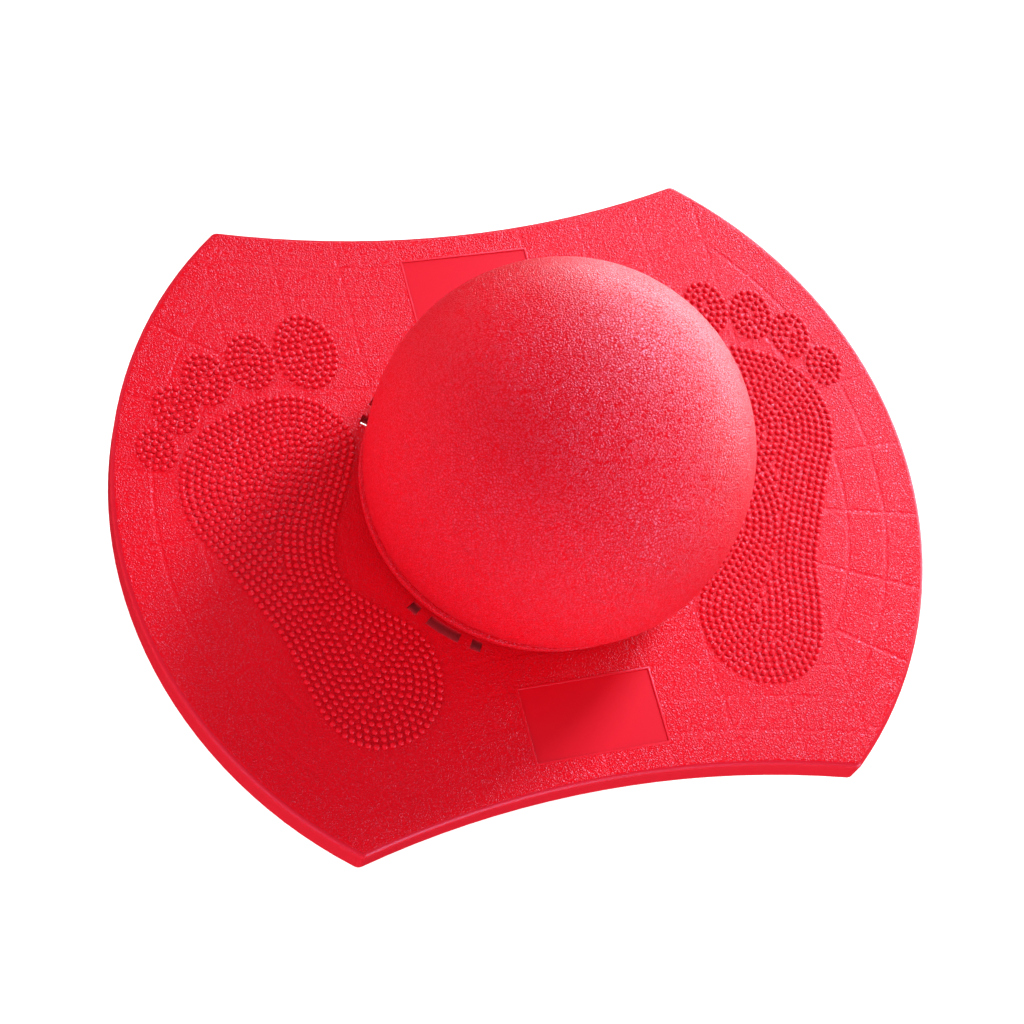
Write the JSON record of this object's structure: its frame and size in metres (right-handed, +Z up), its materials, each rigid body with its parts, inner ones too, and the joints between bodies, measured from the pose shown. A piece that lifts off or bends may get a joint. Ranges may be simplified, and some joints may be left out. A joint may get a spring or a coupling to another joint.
{
  "type": "balance pad",
  "caption": "Hopping and balance board: a ribbed plastic board with massage footprints, gripping a soft two-lobed inflated ball by its waist.",
  "frame": {"origin": "the foot of the ball, where it touches the floor, on the ball's own axis and under the middle of the board", "axes": "+X from the left foot to the right foot, along the longest side; +Y from heel to toes; +Z up along the ball's axis"},
  "size_m": [0.4, 0.3258, 0.319],
  "materials": {
    "board_plastic": "finely grained red polypropylene with smooth rim and panels",
    "ball_pvc": "red soft PVC with a leather grain",
    "seat_pvc": "smooth red soft PVC",
    "plug_plastic": "satin off-white plastic"
  },
  "bodies": {
    "board": {"board": "board_plastic"},
    "ball": {"ball": "ball_pvc", "valve_seat": "seat_pvc"},
    "valve_plug": {"valve_plug": "plug_plastic"}
  },
  "joints": [
    {"name": "ball_turn", "type": "hinge", "parent": "board", "child": "ball", "pos_m": [0, 0, 0.1595], "axis": [0, 0, 1], "continuous": true},
    {"name": "valve_pull", "type": "slide", "parent": "ball", "child": "valve_plug", "axis": [0, -0.6691, -0.7431], "range_m": [0, 0.015]}
  ]
}
